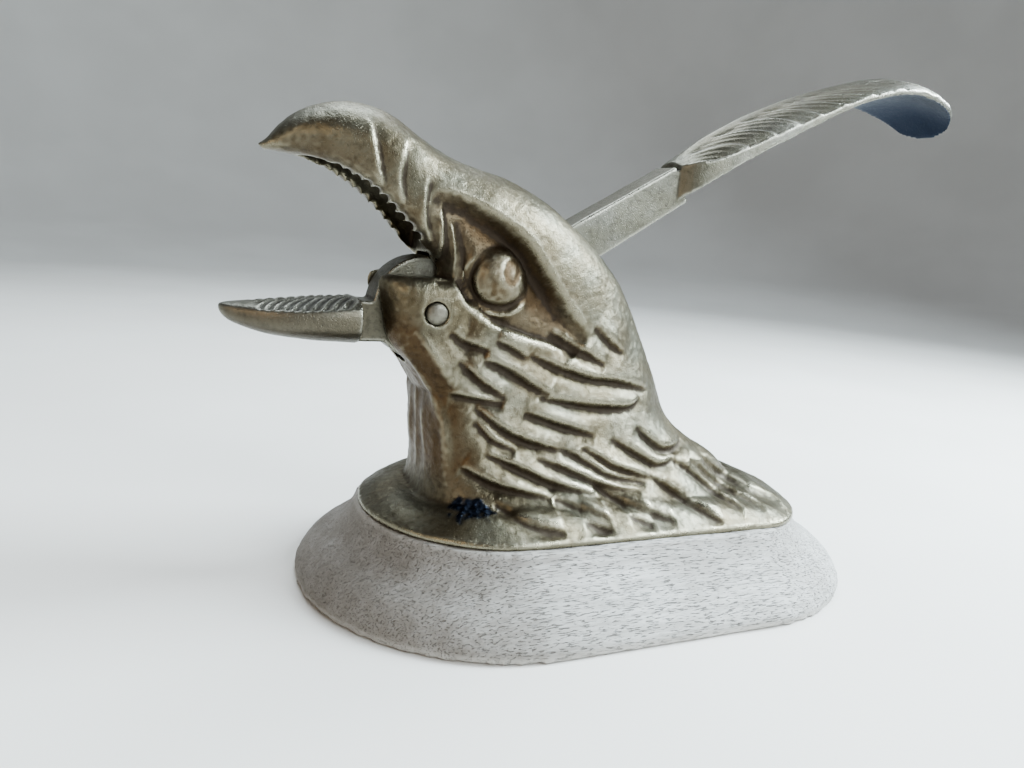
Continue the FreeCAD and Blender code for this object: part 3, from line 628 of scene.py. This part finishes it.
def make_casting():
    clay = Clay("eagle_body", "eagle_casting", CASTING_GRAIN, 2)
    outward = clay.normal[:, 0] * (clay.at[:, 0] - NECK_MIDDLE_X) + clay.normal[:, 1] * clay.at[:, 1]
    foot = fade(22.2, 23, clay.at[:, 2]) * fade(42, 30, clay.at[:, 2])
    outer_wall = fade(0, 5, outward) * fade(-0.1, 0.1, clay.normal[:, 2])
    upward = np.maximum(outer_wall, fade(0.5, 0.8, clay.normal[:, 2]))
    clay.fill(foot * upward, 2)
    slim_nape(clay)
    flare_foot(clay, upward)
    side = np.abs(clay.at[:, 1])
    facing = clay.normal[:, 1] * np.sign(clay.at[:, 1])
    sloping = fade(0.3, 0.6, clay.normal[:, 2]) * fade(60, 46, clay.at[:, 2])
    outside = fade(5.6, 8, side) * np.maximum(fade(0.0, 0.35, facing), sloping)
    outside *= fade(22.6, 24.2, clay.at[:, 2])
    shape_face(clay, outside)
    shape_beak(clay, outside)
    shape_feathers(clay, outside)
    shape_throat(clay)
    clay.push()
    free = fade(3.4, 4.4, from_pivot(clay))
    shown = free * fade(21.4, 22.4, clay.at[:, 2])
    clay.soften(outside * free, 1)
    # Painted shade: the front-facing throat is darkened.
    throat = fade(-0.1, -0.6, clay.normal[:, 0]) * fade(82, 72, clay.at[:, 2]) * fade(24, 40, clay.at[:, 2])
    clay.patina_and_shade = np.maximum(clay.patina_and_shade, throat * fade(-30, -46, clay.at[:, 0]))
    # Undersides darkened: painted shade, and also the dark patina that stays where hands do not rub.
    clay.patina_and_shade = np.maximum(clay.patina_and_shade, 0.6 * fade(0.1, -0.5, clay.normal[:, 2]))
    crusted(clay)
    clay.rise += roughened(clay, 9, 0.35, 1) * shown
    clay.rise += roughened(clay, 1.6, 0.12, 2) * shown
    clay.push()
    clay.wear_masks()
    metal = cast_brass(
        "aged_brass", dark=(0.03, 0.02, 0.012), brown=(0.075, 0.045, 0.022),
        middle=(0.118, 0.1, 0.066), light=(0.34, 0.32, 0.24), grey=(0.15, 0.142, 0.108))
    clay.done(metal, "stand", "aged_brass", "eagle_body")


# ---------------------------------------------------------------- the lever

LEVER_GRAIN = 0.45


def saw(phase, sharp=0.8):
    """Teeth that rise slowly over most of their pitch and drop quickly."""
    part = phase - np.floor(phase)
    return np.where(part < sharp, part / sharp, (1 - part) / (1 - sharp))


def make_lever():
    clay = Clay("lever", "lever_casting", LEVER_GRAIN, 1)
    x, y, z = clay.at.T
    up = clay.normal[:, 2]
    jaw_top = fade(0.5, 0.8, up) * fade(-77.5, -79, x) * fade(-103, -100, x) * fade(74, 76, z)
    clay.rise -= 0.9 * (1 - saw((x - 0.55 * y) / 2.5)) * jaw_top
    feather = fade(17, 24, x)
    top = fade(0.05, 0.3, up) * feather
    barbs = saw((x - 1.7 * np.abs(y)) / 8.5 + 0.15 * np.sin(x / 9), 0.86)
    clay.rise -= 0.7 * (1 - barbs) * top * fade(1.6, 3.5, np.abs(y))
    fine = saw((x - 1.9 * np.abs(y)) / 2.8, 0.6)
    clay.rise -= 0.18 * (1 - fine) * top * fade(2, 4, np.abs(y))
    clay.rise += 0.6 * np.exp(-(y / 1.6) ** 2) * top
    clay.push()
    clay.rise += roughened(clay, 9, 0.2, 5) * fade(16, 20, from_pivot(clay))
    clay.push()
    x, y, z = clay.at.T
    # Painted shade: the underside of the feather's tip is painted blue-black with the crust colour.
    under_tip_shade = fade(-0.2, -0.6, clay.normal[:, 2]) * fade(70, 95, x)
    jaw = fade(-62, -80, x)
    clay.carry("crust_and_shade", under_tip_shade)
    # Painted shade and painted dark reflection: the jaw's sides and underside, the feather's top away from
    # its edges, and the arm's top are darkened.
    clay.patina_and_shade = 0.95 * jaw * fade(0.75, 0.45, clay.normal[:, 2])
    middle = fade(17, 30, x) * fade(0.3, 0.7, clay.normal[:, 2]) * fade(13.5, 10, np.abs(y))
    clay.patina_and_shade = np.maximum(clay.patina_and_shade, 0.75 * middle)
    arm_top = fade(-50, -40, x) * fade(22, 17, x) * fade(0.75, 0.9, clay.normal[:, 2])
    clay.patina_and_shade = np.maximum(clay.patina_and_shade, 0.9 * arm_top)
    clay.wear_masks()
    metal = cast_brass(
        "lever_brass", dark=(0.035, 0.03, 0.024), brown=(0.1, 0.085, 0.06),
        middle=(0.135, 0.128, 0.1), light=(0.34, 0.33, 0.28), grey=(0.175, 0.17, 0.148))
    clay.done(metal, "lever_swing", "lever_brass", "lever")


# ---------------------------------------------------------------- the wooden base

BASE_GRAIN = 1.0

def weathered_wood():
    paint = Paint("base_wood")
    pores = paint.noise(3200, 2, 0.5, (0.12, 1, 1))
    fibres = paint.noise(900, 3, 0.6, (0.04, 1, 1))
    stains = paint.noise(28, 4, 0.6)
    blotches = paint.noise(140, 3, 0.6)
    darker_left_and_low = paint.between(paint.mask("darker_left_and_low"), 0.0, 1.0)
    pale = paint.mask("pale")
    body = paint.mix(paint.between(fibres, 0.3, 0.7), (0.36, 0.35, 0.335), (0.52, 0.515, 0.5))
    layers = (
        (paint.between(stains, 0.45, 0.7), 0.5, (0.27, 0.25, 0.23)),
        (paint.between(blotches, 0.55, 0.75), 0.35, (0.62, 0.61, 0.59)),
        (paint.between(pores, 0.58, 0.66), 0.8, (0.09, 0.08, 0.07)),
        (darker_left_and_low, paint.number(blotches, 0.35, 1.0), (0.13, 0.11, 0.09)),
        (pale, 0.6, (0.5, 0.48, 0.45)),
    )
    colour = body
    for where, strength, tint in layers:
        colour = paint.mix(paint.sums("MULTIPLY", where, strength), colour, tint)
    roughness = paint.number(fibres, 0.62, 0.86)
    relief = paint.bump(paint.between(pores, 0.66, 0.56), 0.0003)
    relief = paint.bump(fibres, 0.00025, relief)
    return paint.finish(colour, roughness, 0.0, relief)


def make_base():
    clay = Clay("wooden_base", "worn_base", BASE_GRAIN, 1)
    z = clay.at[:, 2]
    low = fade(3.2, 0.6, z)
    clay.rise -= 0.5 * low
    clay.rise += roughened(clay, 22, 0.7, 8) * fade(0.2, 2, z)
    clay.rise += roughened(clay, 3.5, 0.16, 9)
    clay.push()
    clay.at[:, 2] = np.maximum(clay.at[:, 2], 0)
    clay.update()
    x, z = clay.at[:, 0], clay.at[:, 2]
    # Darker towards the left end and towards the bottom, in patches.
    clay.carry("darker_left_and_low", fade(5, -75, x) + 0.3 * fade(6, 0, z))
    clay.carry("pale", fade(2.6, 1.0, z) + 0.5 * fade(19.6, 20.6, z))
    clay.done(weathered_wood(), "stand", "base_wood", "wooden_base")


# ---------------------------------------------------------------- pin, screws and washers

def steel(name, dark, light, grain):
    paint = Paint(name)
    broad = paint.noise(grain, 4)
    fine = paint.noise(grain * 9, 3)
    colour = paint.mix(paint.between(broad, 0.35, 0.65), dark, light)
    rust = paint.sums("MULTIPLY", paint.between(fine, 0.58, 0.75), 0.6)
    colour = paint.mix(rust, colour, (0.09, 0.05, 0.03))
    return paint.finish(colour, paint.number(fine, 0.32, 0.6), 0.95, paint.bump(fine, 0.0001))


def make_pin():
    """The pivot pin, its ends hammered over into low uneven domes."""
    low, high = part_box("pivot_pin")
    middle = (low + high) / 2
    radius = (high.x - low.x) / 2
    half = (high.y - low.y) / 2
    turns = 40
    profile = [(0.0, 1.0), (0.35, 0.995), (0.62, 0.985), (0.82, 0.972), (0.94, 0.955), (1.0, 0.935)]
    rows = profile + [(1.0, 0.6), (1.0, 0.2), (1.0, -0.2), (1.0, -0.6)]
    rows += [(share, -height) for share, height in reversed(profile)]
    points = []
    for share, height in rows:
        for turn in range(turns):
            angle = 2 * math.pi * turn / turns
            dent = 1 + 0.012 * math.sin(3 * angle + 5 * height) * (share > 0.5)
            spot = Vector((math.cos(angle) * share * dent, height, math.sin(angle) * share * dent))
            points.append((middle.x + spot.x * radius, middle.y + spot.y * half, middle.z + spot.z * radius))
    faces = []
    for row in range(len(rows) - 1):
        for turn in range(turns):
            after = (turn + 1) % turns
            here, there = row * turns, (row + 1) * turns
            faces.append((here + turn, here + after, there + after, there + turn))
    mesh = bpy.data.meshes.new("peened_pin")
    mesh.from_pydata(points, [], faces)
    mesh.validate()
    mesh.shade_smooth()
    pin = bpy.data.objects.new("peened_pin", mesh)
    scene.collection.objects.link(pin)
    mesh.materials.append(steel("pin_steel", (0.12, 0.11, 0.09), (0.2, 0.19, 0.155), 500))
    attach(pin, "stand")
    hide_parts("pivot_pin")


def dress_fixings():
    screw = steel("screw_steel", (0.22, 0.22, 0.22), (0.42, 0.42, 0.42), 700)
    washer = steel("washer_steel", (0.28, 0.28, 0.27), (0.46, 0.46, 0.45), 500)
    for name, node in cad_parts.items():
        for start, finish in (("base_screw", screw), ("screw_washer", washer)):
            if name.startswith(start):
                node.data.materials.clear()
                node.data.materials.append(finish)


# ---------------------------------------------------------------- the whole scene

make_camera()
make_world()
make_floor()
make_light("key_window", (0.62, -0.12, 0.55), 0.4, 0.4, 20.0, (0.8, 0.93, 1.0))
make_light("front_sky", (0.34, -0.62, 0.42), 0.5, 0.4, 6.0, (0.86, 0.95, 1.0))
make_light("top_sky", (0.0, 0.3, 0.75), 0.5, 0.5, 6.0, (0.84, 0.94, 1.0))
make_light("warm_fill", (-0.6, -0.4, 0.3), 0.5, 0.4, 1.2, (1.0, 0.78, 0.55))
scene.view_settings.view_transform = "AgX"
scene.view_settings.look = "AgX - Medium High Contrast"
make_casting()
make_lever()
make_base()
make_pin()
dress_fixings()
